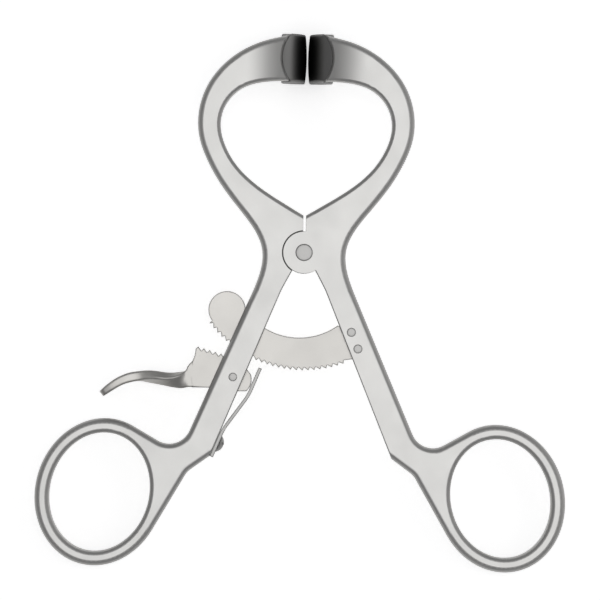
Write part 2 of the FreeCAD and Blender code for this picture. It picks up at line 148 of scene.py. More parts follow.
# Stage: places from the middle of the instrument, in metres
STAGE_CENTRE = Vector((0, -8 * MM, 0))
OVERHEAD_PLACE = Vector((0.06, 0.04, 0.95))
OVERHEAD_SIZE = 0.55
SIDE_PLACE = Vector((0.88, 0.15, 0.42))
SIDE_SIZE = 0.7
FLOOR_SIZE = 3.0
FLOOR_GAP = 0.02 * MM
FLOOR_GLOW = 0.62
SKY = [
    (0.0, (0.31, 0.31, 0.315, 1)),
    (0.86, (0.28, 0.28, 0.285, 1)),
    (1.0, (0.9, 0.9, 0.9, 1)),
]


# Properties

class SteelSettings(bpy.types.PropertyGroup):
    colour: FloatVectorProperty(
        name="Steel Colour", description="Colour of the satin levers",
        subtype="COLOR", min=0, max=1, default=(0.665, 0.66, 0.645),
    )
    roughness: FloatProperty(
        name="Satin Roughness", description="Roughness of the glass-beaded satin finish",
        subtype="FACTOR", min=0, max=1, default=0.34,
    )
    grain: FloatProperty(
        name="Grain Size", description="Size of one grain of the satin finish",
        subtype="DISTANCE", unit="LENGTH", min=0.00002, default=0.00011,
    )
    # Edge Breaking sets how strongly the sharp edges are darkened as painted shade; the rounded
    # edge normal does not depend on it
    edge_wear_and_shade: FloatProperty(
        name="Edge Breaking", description="How far the sharp edges are broken with a stone",
        subtype="FACTOR", min=0, max=1, default=0.7,
    )
    # Rim Tone darkens rims and slopes by how far they lean from the flat faces: painted shade
    rim_shade: FloatProperty(
        name="Rim Tone", description="Brightness of the ground rims against the flat faces",
        subtype="FACTOR", min=0, max=1, default=0.68,
    )
    # Plate Tone darkens the bite plates against the levers of the same steel: painted shade
    plate_shade: FloatProperty(
        name="Plate Tone", description="Brightness of the bite plates against the levers",
        subtype="FACTOR", min=0, max=1, default=0.35,
    )


class PinSettings(bpy.types.PropertyGroup):
    dome: FloatProperty(
        name="Dome Height", description="How far a peened pin end stands proud",
        subtype="DISTANCE", unit="LENGTH", min=0, default=0.00003,
    )
    spread: FloatProperty(
        name="Head Spread", description="How far a peened pin end spreads past its hole",
        subtype="DISTANCE", unit="LENGTH", min=0, default=0.00011,
    )
    rings: IntProperty(
        name="Turned Rings", description="Number of rings in the mesh of a pin end",
        min=2, default=6,
    )


class StageSettings(bpy.types.PropertyGroup):
    floor_colour: FloatVectorProperty(
        name="Floor Colour", description="Colour of the plain floor",
        subtype="COLOR", min=0, max=1, default=(0.93, 0.93, 0.93),
    )
    camera_height: FloatProperty(
        name="Camera Height", description="Distance from the levers to the camera",
        subtype="DISTANCE", unit="LENGTH", min=0.2, default=1.0,
    )
    overhead: FloatProperty(
        name="Overhead Light", description="Power of the soft light above the levers",
        unit="POWER", min=0, default=0.54,
    )
    side: FloatProperty(
        name="Side Light", description="Power of the soft light to the right of the levers",
        unit="POWER", min=0, default=0.8,
    )


# Shader groups

def socket_in(tree, name, kind, default=None):
    item = tree.interface.new_socket(name=name, in_out="INPUT", socket_type=kind)
    if default is not None:
        item.default_value = default


def socket_out(tree, name, kind):
    tree.interface.new_socket(name=name, in_out="OUTPUT", socket_type=kind)


def add_node(tree, kind, **settings):
    node = tree.nodes.new(kind)
    for name, value in settings.items():
        setattr(node, name, value)
    return node


def math_node(tree, operation, a, b=None, c=None, clamp=False):
    """Math node whose inputs are numbers or sockets."""
    node = add_node(tree, "ShaderNodeMath", operation=operation, use_clamp=clamp)
    for k, value in enumerate(v for v in (a, b, c) if v is not None):
        if isinstance(value, (int, float)):
            node.inputs[k].default_value = value
        else:
            tree.links.new(value, node.inputs[k])
    return node.outputs[0]


def noise(tree, vector, scale, detail, roughness):
    """Noise value at a vector, with a scale that is a number or a socket."""
    node = add_node(tree, "ShaderNodeTexNoise")
    tree.links.new(vector, node.inputs["Vector"])
    if isinstance(scale, (int, float)):
        node.inputs["Scale"].default_value = scale
    else:
        tree.links.new(scale, node.inputs["Scale"])
    node.inputs["Detail"].default_value = detail
    node.inputs["Roughness"].default_value = roughness
    return node.outputs["Fac"]


def satin_group():
    """Fine beaded grain with soft clouds where the blasting was uneven."""
    tree = bpy.data.node_groups.new("satin_grain", "ShaderNodeTree")
    socket_in(tree, "Grain Size", "NodeSocketFloat", 0.0001)
    socket_in(tree, "Colour Variation", "NodeSocketFloat", 0.05)
    socket_in(tree, "Roughness", "NodeSocketFloat", 0.35)
    socket_in(tree, "Roughness Variation", "NodeSocketFloat", 0.08)
    socket_out(tree, "Brightness", "NodeSocketFloat")
    socket_out(tree, "Roughness", "NodeSocketFloat")
    socket_out(tree, "Height", "NodeSocketFloat")
    given = add_node(tree, "NodeGroupInput")
    result = add_node(tree, "NodeGroupOutput")
    place = add_node(tree, "ShaderNodeTexCoord").outputs["Object"]
    scale = math_node(tree, "DIVIDE", 1.0, given.outputs["Grain Size"])
    grain = noise(tree, place, scale, 2.0, 0.6)
    clouds = noise(tree, place, CLOUDS, 3.0, 0.5)
    soft = math_node(tree, "MULTIPLY", clouds, 1 - GRAIN_PART)
    mixed = math_node(tree, "MULTIPLY_ADD", grain, GRAIN_PART, soft)
    centred = math_node(tree, "SUBTRACT", mixed, 0.5)
    shade = math_node(tree, "MULTIPLY_ADD", centred, given.outputs["Colour Variation"], 1.0)
    cloud_step = math_node(tree, "SUBTRACT", clouds, 0.5)
    rough = math_node(
        tree, "MULTIPLY_ADD", cloud_step, given.outputs["Roughness Variation"],
        given.outputs["Roughness"],
    )
    tree.links.new(shade, result.inputs["Brightness"])
    tree.links.new(rough, result.inputs["Roughness"])
    tree.links.new(grain, result.inputs["Height"])
    return tree


def rounded_edge_shade_group():
    """Mask along sharp edges, in patches, that darkens their colour as painted shade, and the
    normal of the same edges with a small round.
    """
    tree = bpy.data.node_groups.new("rounded_edges_and_shade", "ShaderNodeTree")
    socket_in(tree, "Radius", "NodeSocketFloat", 0.0003)
    socket_in(tree, "Amount", "NodeSocketFloat", 0.5)
    socket_out(tree, "Mask", "NodeSocketFloat")
    socket_out(tree, "Normal", "NodeSocketVector")
    given = add_node(tree, "NodeGroupInput")
    result = add_node(tree, "NodeGroupOutput")
    rounded = add_node(tree, "ShaderNodeBevel", samples=5)
    tree.links.new(given.outputs["Radius"], rounded.inputs["Radius"])
    true_normal = add_node(tree, "ShaderNodeNewGeometry").outputs["Normal"]
    cosine = add_node(tree, "ShaderNodeVectorMath", operation="DOT_PRODUCT")
    tree.links.new(rounded.outputs["Normal"], cosine.inputs[0])
    tree.links.new(true_normal, cosine.inputs[1])
    bend = math_node(tree, "SUBTRACT", 1.0, cosine.outputs["Value"])
    place = add_node(tree, "ShaderNodeTexCoord").outputs["Object"]
    patches = noise(tree, place, EDGE_PATCHES, 3.0, 0.6)
    strength = math_node(tree, "MULTIPLY", bend, EDGE_GAIN, clamp=True)
    lifted = math_node(tree, "ADD", patches, PATCH_LIFT)
    # Patches vary the painted edge shade along the edges
    broken = math_node(tree, "MULTIPLY", strength, lifted)
    mask = math_node(tree, "MULTIPLY", broken, given.outputs["Amount"], clamp=True)
    tree.links.new(mask, result.inputs["Mask"])
    tree.links.new(rounded.outputs["Normal"], result.inputs["Normal"])
    return tree


def slope_shade_group():
    """Mask of what leans away from the flat faces: rims, side walls and slopes; it darkens their
    colour as painted shade and roughens them as a ground finish.
    """
    tree = bpy.data.node_groups.new("slope_shade_and_grit", "ShaderNodeTree")
    socket_in(tree, "Start", "NodeSocketFloat", 0.003)
    socket_in(tree, "Softness", "NodeSocketFloat", 0.03)
    socket_out(tree, "Mask", "NodeSocketFloat")
    given = add_node(tree, "NodeGroupInput")
    result = add_node(tree, "NodeGroupOutput")
    normal = add_node(tree, "ShaderNodeTexCoord").outputs["Normal"]
    parts = add_node(tree, "ShaderNodeSeparateXYZ")
    tree.links.new(normal, parts.inputs[0])
    lean = math_node(tree, "SUBTRACT", 1.0, math_node(tree, "ABSOLUTE", parts.outputs["Z"]))
    past = math_node(tree, "SUBTRACT", lean, given.outputs["Start"])
    mask = math_node(tree, "DIVIDE", past, given.outputs["Softness"], clamp=True)
    tree.links.new(mask, result.inputs["Mask"])
    return tree


def seam_shade_group():
    """Painted shade: a dark line round the joint disc, where the two halves meet on each face."""
    tree = bpy.data.node_groups.new("joint_seam_shade", "ShaderNodeTree")
    socket_in(tree, "Radius", "NodeSocketFloat", 0.00481)
    socket_in(tree, "Width", "NodeSocketFloat", 0.0001)
    socket_in(tree, "Middle", "NodeSocketFloat", 0.0025)
    socket_out(tree, "Mask", "NodeSocketFloat")
    given = add_node(tree, "NodeGroupInput")
    result = add_node(tree, "NodeGroupOutput")
    place = add_node(tree, "ShaderNodeTexCoord").outputs["Object"]
    parts = add_node(tree, "ShaderNodeSeparateXYZ")
    tree.links.new(place, parts.inputs[0])
    across = math_node(tree, "MULTIPLY", parts.outputs["X"], parts.outputs["X"])
    reach = math_node(tree, "MULTIPLY_ADD", parts.outputs["Y"], parts.outputs["Y"], across)
    away = math_node(tree, "SUBTRACT", math_node(tree, "SQRT", reach), given.outputs["Radius"])
    near = math_node(tree, "DIVIDE", math_node(tree, "ABSOLUTE", away), given.outputs["Width"])
    line = math_node(tree, "SUBTRACT", 2.0, near, clamp=True)
    layer = math_node(tree, "SUBTRACT", parts.outputs["Z"], given.outputs["Middle"])
    side = math_node(tree, "MULTIPLY", layer, parts.outputs["X"])
    open_side = math_node(tree, "LESS_THAN", side, 0.0)
    tree.links.new(math_node(tree, "MULTIPLY", line, open_side), result.inputs["Mask"])
    return tree


def scratch_group():
    """Hairlines from handling, long along one direction and thin across it."""
    tree = bpy.data.node_groups.new("hairlines", "ShaderNodeTree")
    socket_in(tree, "Angle", "NodeSocketFloat", 0.0)
    socket_in(tree, "Density", "NodeSocketFloat", 0.5)
    socket_out(tree, "Mask", "NodeSocketFloat")
    given = add_node(tree, "NodeGroupInput")
    result = add_node(tree, "NodeGroupOutput")
    place = add_node(tree, "ShaderNodeTexCoord").outputs["Object"]
    turned = add_node(tree, "ShaderNodeVectorRotate", rotation_type="Z_AXIS")
    tree.links.new(place, turned.inputs["Vector"])
    tree.links.new(given.outputs["Angle"], turned.inputs["Angle"])
    stretched = add_node(tree, "ShaderNodeVectorMath", operation="MULTIPLY")
    stretched.inputs[1].default_value = HAIRLINES
    tree.links.new(turned.outputs["Vector"], stretched.inputs[0])
    lines = noise(tree, stretched.outputs["Vector"], 1.0, 2.0, 0.5)
    peaks = math_node(tree, "SUBTRACT", lines, HAIRLINE_LEVEL)
    sharp = math_node(tree, "MULTIPLY", peaks, HAIRLINE_GAIN, clamp=True)
    mask = math_node(tree, "MULTIPLY", sharp, given.outputs["Density"], clamp=True)
    tree.links.new(mask, result.inputs["Mask"])
    return tree


def gap_shade_group():
    """Painted shade on the side of the bite plates, darkest where the closed plates nearly touch.
    """
    tree = bpy.data.node_groups.new("painted_gap_shade", "ShaderNodeTree")
    socket_in(tree, "Reach", "NodeSocketFloat", 0.003)
    socket_out(tree, "Mask", "NodeSocketFloat")
    given = add_node(tree, "NodeGroupInput")
    result = add_node(tree, "NodeGroupOutput")
    place = add_node(tree, "ShaderNodeTexCoord").outputs["Object"]
    parts = add_node(tree, "ShaderNodeSeparateXYZ")
    tree.links.new(place, parts.inputs[0])
    away = math_node(tree, "ABSOLUTE", parts.outputs["X"])
    share = math_node(tree, "DIVIDE", away, given.outputs["Reach"])
    mask = math_node(tree, "SUBTRACT", GAP_START, share, clamp=True)
    tree.links.new(mask, result.inputs["Mask"])
    return tree


def place_group(tree, name, build, **values):
    """Places a shared group, built at its first use, with its own input values."""
    node = add_node(tree, "ShaderNodeGroup")
    node.node_tree = bpy.data.node_groups.get(name) or build()
    for key, value in values.items():
        node.inputs[key.replace("_", " ")].default_value = value
    return node


def tinted(tree, colour_socket, mask_socket, share):
    """Multiplies the colour by a share wherever the mask is full."""
    mixed = add_node(tree, "ShaderNodeMix", data_type="RGBA", blend_type="MULTIPLY")
    mixed.inputs["B"].default_value = (share, share, share, 1.0)
    tree.links.new(mask_socket, mixed.inputs["Factor"])
    tree.links.new(colour_socket, mixed.inputs["A"])
    return mixed.outputs["Result"]


def steel(name, colour, settings, angle=0.0, **choices):
    """Satin steel from the shared groups; the choices override what the settings give."""
    wish = {
        "roughness": settings.roughness, "grain": settings.grain, "depth": 0.4, "hairlines": 0.3,
        "edge_radius": 0.15 * MM, "edge_share": 0.5, "edge_amount": settings.edge_wear_and_shade,
        "slope_share": settings.rim_shade,
        "slope_start": 0.0008, "slope_softness": 0.035, "seam": 0.0, "gap": 0.0,
    }
    wish.update(choices)
    material = bpy.data.materials.new(name)
    material.use_nodes = True
    tree = material.node_tree
    shader = tree.nodes["Principled BSDF"]
    shader.inputs["Metallic"].default_value = 1.0
    satin = place_group(
        tree, "satin_grain", satin_group, Grain_Size=wish["grain"],
        Colour_Variation=COLOUR_VARIATION, Roughness=wish["roughness"],
        Roughness_Variation=ROUGHNESS_VARIATION,
    )
    edges = place_group(
        tree, "rounded_edges_and_shade", rounded_edge_shade_group, Radius=wish["edge_radius"], Amount=wish["edge_amount"]
    )
    slopes = place_group(
        tree, "slope_shade_and_grit", slope_shade_group, Start=wish["slope_start"],
        Softness=wish["slope_softness"],
    )
    lines = place_group(
        tree, "hairlines", scratch_group, Angle=angle, Density=wish["hairlines"]
    )
    base = add_node(tree, "ShaderNodeMix", data_type="RGBA", blend_type="MULTIPLY")
    base.inputs["Factor"].default_value = 1.0
    base.inputs["A"].default_value = (*colour, 1.0)
    tree.links.new(satin.outputs["Brightness"], base.inputs["B"])
    # Painted shade: rims and slopes darker by their lean from the flat faces
    shade = tinted(tree, base.outputs["Result"], slopes.outputs["Mask"], wish["slope_share"])
    # Painted shade: sharp edges darker
    shade = tinted(tree, shade, edges.outputs["Mask"], wish["edge_share"])
    # Painted shade: a dark line along the joint seam
    if wish["seam"]:
        seam = place_group(tree, "joint_seam_shade", seam_shade_group, Width=wish["seam"])
        shade = tinted(tree, shade, seam.outputs["Mask"], SEAM_SHADE_SHARE)
    # Painted shade: the bite plates darker towards the gap between them
    if wish["gap"]:
        gap = place_group(tree, "painted_gap_shade", gap_shade_group, Reach=wish["gap"])
        shade = tinted(tree, shade, gap.outputs["Mask"], GAP_SHADE_SHARE)
    tree.links.new(shade, shader.inputs["Base Color"])
    ground = math_node(
        tree, "MULTIPLY_ADD", slopes.outputs["Mask"], RIM_ROUGHENING, satin.outputs["Roughness"]
    )
    rough = math_node(
        tree, "MULTIPLY_ADD", lines.outputs["Mask"], HAIRLINE_POLISH, ground, clamp=True
    )
    tree.links.new(rough, shader.inputs["Roughness"])
    height = math_node(
        tree, "MULTIPLY_ADD", lines.outputs["Mask"], HAIRLINE_HEIGHT, satin.outputs["Height"]
    )
    bump = add_node(tree, "ShaderNodeBump")
    bump.inputs["Strength"].default_value = wish["depth"]
    bump.inputs["Distance"].default_value = BUMP_HEIGHT
    tree.links.new(height, bump.inputs["Height"])
    tree.links.new(edges.outputs["Normal"], bump.inputs["Normal"])
    tree.links.new(bump.outputs["Normal"], shader.inputs["Normal"])
    return material


def dress(node, material):
    """Gives a carried-over node its finish through its material slots."""
    data = nodes[node].data
    if not data.materials:
        data.materials.append(material)
    for k in range(len(data.materials)):
        data.materials[k] = material


# Geometry Nodes for the pin ends

def pin_end_tree():
    """A domed disc on every point, scaled by the point's radius and turned to its face."""
    tree = bpy.data.node_groups.new("pin_ends", "GeometryNodeTree")
    tree.interface.new_socket(name="Geometry", in_out="INPUT", socket_type="NodeSocketGeometry")
    socket_in(tree, "Dome Height", "NodeSocketFloat", 0.0001)
    socket_in(tree, "Head Spread", "NodeSocketFloat", 0.0001)
    socket_in(tree, "Rings", "NodeSocketInt", 6)
    socket_in(tree, "Finish", "NodeSocketMaterial")
    tree.interface.new_socket(name="Geometry", in_out="OUTPUT", socket_type="NodeSocketGeometry")
    given = add_node(tree, "NodeGroupInput")
    result = add_node(tree, "NodeGroupOutput")
    link = tree.links.new

    disc = add_node(tree, "GeometryNodeMeshCone", fill_type="NGON")
    disc.inputs["Vertices"].default_value = HEAD_SIDES
    disc.inputs["Radius Top"].default_value = HEAD_FLAT
    disc.inputs["Radius Bottom"].default_value = 1.0
    disc.inputs["Depth"].default_value = 1.0
    link(given.outputs["Rings"], disc.inputs["Side Segments"])

    place = add_node(tree, "GeometryNodeInputPosition").outputs[0]
    parts = add_node(tree, "ShaderNodeSeparateXYZ")
    link(place, parts.inputs[0])
    flat = add_node(tree, "ShaderNodeCombineXYZ")
    link(parts.outputs["X"], flat.inputs["X"])
    link(parts.outputs["Y"], flat.inputs["Y"])
    reach = add_node(tree, "ShaderNodeVectorMath", operation="LENGTH")
    link(flat.outputs[0], reach.inputs[0])
    falling = math_node(tree, "MULTIPLY", reach.outputs["Value"], reach.outputs["Value"])
    height = math_node(tree, "SUBTRACT", 1.0, falling)
    domed = add_node(tree, "ShaderNodeCombineXYZ")
    link(parts.outputs["X"], domed.inputs["X"])
    link(parts.outputs["Y"], domed.inputs["Y"])
    link(height, domed.inputs["Z"])
    shaped = add_node(tree, "GeometryNodeSetPosition")
    link(disc.outputs["Mesh"], shaped.inputs["Geometry"])
    link(domed.outputs[0], shaped.inputs["Position"])

    radius = add_node(tree, "GeometryNodeInputNamedAttribute", data_type="FLOAT")
    radius.inputs["Name"].default_value = "head_radius"
    way = add_node(tree, "GeometryNodeInputNamedAttribute", data_type="FLOAT_VECTOR")
    way.inputs["Name"].default_value = "head_way"
    outer = math_node(tree, "ADD", radius.outputs["Attribute"], given.outputs["Head Spread"])
    size = add_node(tree, "ShaderNodeCombineXYZ")
    link(outer, size.inputs["X"])
    link(outer, size.inputs["Y"])
    link(given.outputs["Dome Height"], size.inputs["Z"])
    turn = add_node(tree, "FunctionNodeAlignRotationToVector", axis="Z")
    link(way.outputs["Attribute"], turn.inputs["Vector"])

    copies = add_node(tree, "GeometryNodeInstanceOnPoints")
    link(given.outputs["Geometry"], copies.inputs["Points"])
    link(shaped.outputs["Geometry"], copies.inputs["Instance"])
    link(turn.outputs["Rotation"], copies.inputs["Rotation"])
    link(size.outputs[0], copies.inputs["Scale"])
    plain = add_node(tree, "GeometryNodeRealizeInstances")
    link(copies.outputs["Instances"], plain.inputs["Geometry"])
    finish = add_node(tree, "GeometryNodeSetMaterial")
    link(plain.outputs["Geometry"], finish.inputs["Geometry"])
    link(given.outputs["Finish"], finish.inputs["Material"])
    link(finish.outputs["Geometry"], result.inputs["Geometry"])
    return tree


def head_points(body):
    """Points at both ends of each pin of a body, with the radius and the way each end faces."""
    points, radii, ways = [], [], []
    for node, radius, owner in PIN_HEADS:
        if owner != body:
            continue
        low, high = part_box(node)
        for z, way in ((low[2], -1.0), (high[2], 1.0)):
            points.append(((low[0] + high[0]) / 2, (low[1] + high[1]) / 2, z))
            radii.append(radius)
            ways.append((0.0, 0.0, way))
    data = bpy.data.meshes.new("pin_points_" + body)
    data.from_pydata(points, [], [])
    data.attributes.new("head_radius", "FLOAT", "POINT").data.foreach_set("value", radii)
    flat_ways = [value for way in ways for value in way]
    data.attributes.new("head_way", "FLOAT_VECTOR", "POINT").data.foreach_set("vector", flat_ways)
    return data


def made_plain(obj, name):
    """Turns the evaluated object into a plain mesh object and removes the original."""
    graph = bpy.context.evaluated_depsgraph_get()
    data = bpy.data.meshes.new_from_object(obj.evaluated_get(graph))
    data.name = name
    bpy.data.objects.remove(obj)
    piece = bpy.data.objects.new(name, data)
    bpy.context.scene.collection.objects.link(piece)
    return piece


# Forged pawl lever

def between(stations, t):
    """Smooth value of each column at a place t along the stations, counted in stations."""
    k = min(int(t), len(stations) - 2)
    u = t - k
    a, b, c, d = (stations[min(max(j, 0), len(stations) - 1)] for j in (k - 1, k, k + 1, k + 2))
    values = []
    for p, q, r, v in zip(a, b, c, d):
        slope_q, slope_r = (r - p) / 2, (v - q) / 2
        values.append(
            q + slope_q * u + (3 * (r - q) - 2 * slope_q - slope_r) * u ** 2
            + (2 * (q - r) + slope_q + slope_r) * u ** 3
        )
    return values


def blade_section(width, thickness, corner, corner_steps=4):
    """Rounded rectangle as (across, through) pairs, anticlockwise."""
    corners = []
    for quarter in range(4):
        arc = []
        side = (1, -1, -1, 1)[quarter]
        face = (1, 1, -1, -1)[quarter]
        for step in range(corner_steps + 1):
            angle = math.pi / 2 * (quarter + step / corner_steps)
            across = side * (width / 2 - corner) + corner * math.cos(angle)
            through = face * (thickness / 2 - corner) + corner * math.sin(angle)
            arc.append((across, through))
        corners.append(arc)
    pairs = []
    for arc, following in zip(corners, corners[1:] + corners[:1]):
        pairs += arc
        (a, b), (c, d) = arc[-1], following[0]
        pairs += [(a + (c - a) * share, b + (d - b) * share) for share in FLAT_POINTS]
    return pairs


def add_blade(mesh, pin):
    """Twisted blade, closed at its rounded tip; returns the edges of its open first ring."""
    last = len(BLADE_STATIONS) - 1
    rings = []
    for k in range(BLADE_RINGS + 1):
        t = 1 + (last - 1) * k / BLADE_RINGS
        x, y, twist, width, thickness = between(BLADE_STATIONS, t)
        ahead = between(BLADE_STATIONS, min(t + PATH_STEP, last))
        behind = between(BLADE_STATIONS, t - PATH_STEP)
        settled = min(1.0, (t - 1) / SETTLING_ROWS)
        way = Vector((ahead[0] - behind[0], settled * (ahead[1] - behind[1]), 0)).normalized()
        beside = Vector((way.y, -way.x, 0))
        turn = math.radians(twist)
        across = beside * math.sin(turn) + Vector((0, 0, math.cos(turn)))
        through = across.cross(way)
        centre = pin + Vector((x, y, 0)) * MM
        tip = max(0.0, (t - last + TIP_ROWS) / TIP_ROWS)
        narrow = math.sqrt(1 - TIP_NARROWING * tip ** 2)
        corner = BLADE_ROUND * min(1.0, 0.1 + (t - 1) / ROUNDING_ROWS)
        ring = []
        for a, b in blade_section(width * MM * narrow, thickness * MM, corner):
            ring.append(mesh.verts.new(centre + across * a + through * b))
        rings.append(ring)
    count = len(rings[0])
    for low, high in zip(rings, rings[1:]):
        for k in range(count):
            n = (k + 1) % count
            mesh.faces.new((low[k], low[n], high[n], high[k]))
    mesh.faces.new(rings[-1])
    first = rings[0]
    return [mesh.edges.get((first[k], first[(k + 1) % count])) for k in range(count)]


def forged_pawl(material):
    """Toothed plate from the frame's lever, with a forged blade that twists smoothly out of it."""
    low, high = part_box("pawl_pin")
    bar_low, bar_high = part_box("ratchet_bar")
    pin = Vector(((low[0] + high[0]) / 2, (low[1] + high[1]) / 2, (bar_low[2] + bar_high[2]) / 2))
    solid = nodes["pawl_lever"].data
    plain = bpy.data.meshes.new("pawl_plate")
    plain.from_pydata([v.co for v in solid.vertices], [], [p.vertices[:] for p in solid.polygons])
    mesh = bmesh.new()
    mesh.from_mesh(plain)
    bpy.data.meshes.remove(plain)
    bmesh.ops.remove_doubles(mesh, verts=mesh.verts, dist=0.001 * MM)
    cut = bmesh.ops.bisect_plane(
        mesh, geom=mesh.verts[:] + mesh.edges[:] + mesh.faces[:], dist=0.0001 * MM,
        plane_co=pin + Vector((BLADE_CUT, 0, 0)), plane_no=(-1, 0, 0), clear_outer=True,
    )
    rim = [item for item in cut["geom_cut"] if isinstance(item, bmesh.types.BMEdge)]
    bmesh.ops.bridge_loops(mesh, edges=rim + add_blade(mesh, pin))
    bmesh.ops.recalc_face_normals(mesh, faces=mesh.faces)
    for face in mesh.faces:
        face.smooth = True
    data = bpy.data.meshes.new("pawl_lever_forged")
    mesh.to_mesh(data)
    mesh.free()
    data.set_sharp_from_angle(angle=SHARP_ANGLE)
    data.materials.append(material)
    piece = bpy.data.objects.new("pawl_lever_forged", data)
    bpy.context.scene.collection.objects.link(piece)
    return piece


# Operators

class MOUTHGAG_OT_levers(bpy.types.Operator):
    """Give both levers and their finger rings the satin steel finish"""
    bl_idname = "mouthgag.levers"
    bl_label = "Levers"

    def execute(self, context):
        settings = context.scene.mouthgag_steel
        for node, angle in (("left_half", SHANK_LEAN), ("right_half", -SHANK_LEAN)):
            # Each lever also gets the painted dark line of shade along the joint seam
            dress(node, steel(node + "_satin", settings.colour, settings, angle, seam=SEAM_WIDTH))
        return {"FINISHED"}


class MOUTHGAG_OT_plates(bpy.types.Operator):
    """Give the bite plates a finely ground finish, darkened as painted shade"""
    bl_idname = "mouthgag.plates"
    bl_label = "Bite Plates"

    def execute(self, context):
        settings = context.scene.mouthgag_steel
        # The plates are of the lever steel; their darker copy of its colour is painted shade,
        # darker still on steep faces and towards the gap
        colour = [settings.plate_shade * c for c in settings.colour]
        for node in ("left_bite_plate", "right_bite_plate"):
            dress(node, steel(
                node + "_ground_shaded", colour, settings, math.pi / 2, depth=0.3,
                slope_start=0.35, slope_softness=0.5, slope_share=0.7, gap=GAP_REACH,
            ))
        return {"FINISHED"}


class MOUTHGAG_OT_ratchet(bpy.types.Operator):
    """Give the toothed bar and the pawl lever their slightly warmer milled finish"""
    bl_idname = "mouthgag.ratchet"
    bl_label = "Ratchet"

    def execute(self, context):
        settings = context.scene.mouthgag_steel
        warm = [c * tint for c, tint in zip(settings.colour, MILLED_TINT)]
        # The milled parts' edges are darkened almost to black as painted shade
        milled = {
            "grain": settings.grain * 1.2, "depth": 0.5, "hairlines": 0.6,
            "edge_radius": 0.42 * MM, "edge_share": 0.06,
            "edge_amount": WORN_AND_SHADED_EDGES * settings.edge_wear_and_shade, "slope_softness": 0.08,
        }
        dress("ratchet_bar", steel("ratchet_bar_milled", warm, settings, BAR_LINES, **milled))
        piece = forged_pawl(steel("pawl_lever_milled", warm, settings, PAWL_LINES, **milled))
        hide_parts("pawl_lever")
        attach(piece, "pawl")
        return {"FINISHED"}


class MOUTHGAG_OT_spring(bpy.types.Operator):
    """Give the leaf spring and its screw their slightly darker rolled finish"""
    bl_idname = "mouthgag.spring"
    bl_label = "Leaf Spring"

    def execute(self, context):
        settings = context.scene.mouthgag_steel
        colour = [SPRING_TONE * c for c in settings.colour]
        for node in ("leaf_spring", "spring_screw"):
            # The edges of the spring and its screw are darkened almost to black as painted shade
            dress(node, steel(
                node + "_rolled", colour, settings, SHANK_LEAN,
                depth=0.25, hairlines=0.5, edge_radius=0.36 * MM, edge_share=0.06,
                edge_amount=WORN_AND_SHADED_EDGES * settings.edge_wear_and_shade,
            ))
        return {"FINISHED"}


class MOUTHGAG_OT_pins(bpy.types.Operator):
    """Give the pins their finish and peen a low dome on both ends of each"""
    bl_idname = "mouthgag.pins"
    bl_label = "Pin Ends"

    def execute(self, context):
        steel_settings = context.scene.mouthgag_steel
        settings = context.scene.mouthgag_pins
        colour = [PIN_TONE * c for c in steel_settings.colour]
        # The pins' edges are darkened slightly as painted shade
        finish = steel(
            "pin_ground_shaded", colour, steel_settings,
            edge_radius=0.05 * MM, edge_share=0.9, hairlines=0.4,
        )
        for node, _, _ in PIN_HEADS:
            dress(node, finish)
        tree = pin_end_tree()
        names = {item.name: item.identifier for item in tree.interface.items_tree}
        for body in ("left_lever", "right_lever"):
            maker = bpy.data.objects.new("pin_maker", head_points(body))
            context.scene.collection.objects.link(maker)
            modifier = maker.modifiers.new("pin_ends", "NODES")
            modifier.node_group = tree
            modifier[names["Dome Height"]] = settings.dome
            modifier[names["Head Spread"]] = settings.spread
            modifier[names["Rings"]] = settings.rings
            modifier[names["Finish"]] = finish
            piece = made_plain(maker, "pin_ends_" + body)
            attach(piece, body)
        return {"FINISHED"}


def plane(name, size, matrix, material):
    """Square sheet of the stage."""
    data = bpy.data.meshes.new(name)
    mesh = bmesh.new()
    bmesh.ops.create_grid(mesh, x_segments=1, y_segments=1, size=size / 2, matrix=matrix)
    mesh.to_mesh(data)
    mesh.free()
    data.materials.append(material)
    obj = bpy.data.objects.new(name, data)
    bpy.context.scene.collection.objects.link(obj)


def aimed(obj, place, target, roll=0.0):
    """Stands the object at a place, looking at a target, with +Y up in its view."""
    way = (Vector(target) - Vector(place)).normalized()
    back = way * -1
    right = Vector((0, 1, 0)).cross(back).normalized()
    upward = back.cross(right)
    turn = Matrix((right, upward, back)).transposed().to_4x4()
    obj.matrix_world = Matrix.Translation(place) @ turn @ Matrix.Rotation(roll, 4, "Z")


def area_light(name, place, target, size, power):
    """Square soft light at a place, looking at a target."""
    data = bpy.data.lights.new(name, "AREA")
    data.shape = "SQUARE"
    data.size = size
    data.energy = power
    light = bpy.data.objects.new(name, data)
    bpy.context.scene.collection.objects.link(light)
    aimed(light, place, target)


def floor_paper(colour):
    """Pale paper that shows white to the camera and in the steel, and still takes shadows."""
    material = bpy.data.materials.new("floor_paper")
    material.use_nodes = True
    tree = material.node_tree
    shader = tree.nodes["Principled BSDF"]
    shader.inputs["Base Color"].default_value = (*colour, 1.0)
    shader.inputs["Roughness"].default_value = 0.9
    shader.inputs["Specular IOR Level"].default_value = 0.1
    shader.inputs["Emission Color"].default_value = (1.0, 1.0, 1.0, 1.0)
    path = add_node(tree, "ShaderNodeLightPath")
    seen = math_node(
        tree, "MAXIMUM", path.outputs["Is Camera Ray"], path.outputs["Is Glossy Ray"]
    )
    seen = math_node(tree, "MAXIMUM", seen, path.outputs["Is Transmission Ray"])
    glow = math_node(tree, "MULTIPLY", seen, FLOOR_GLOW)
    tree.links.new(glow, shader.inputs["Emission Strength"])
    return material


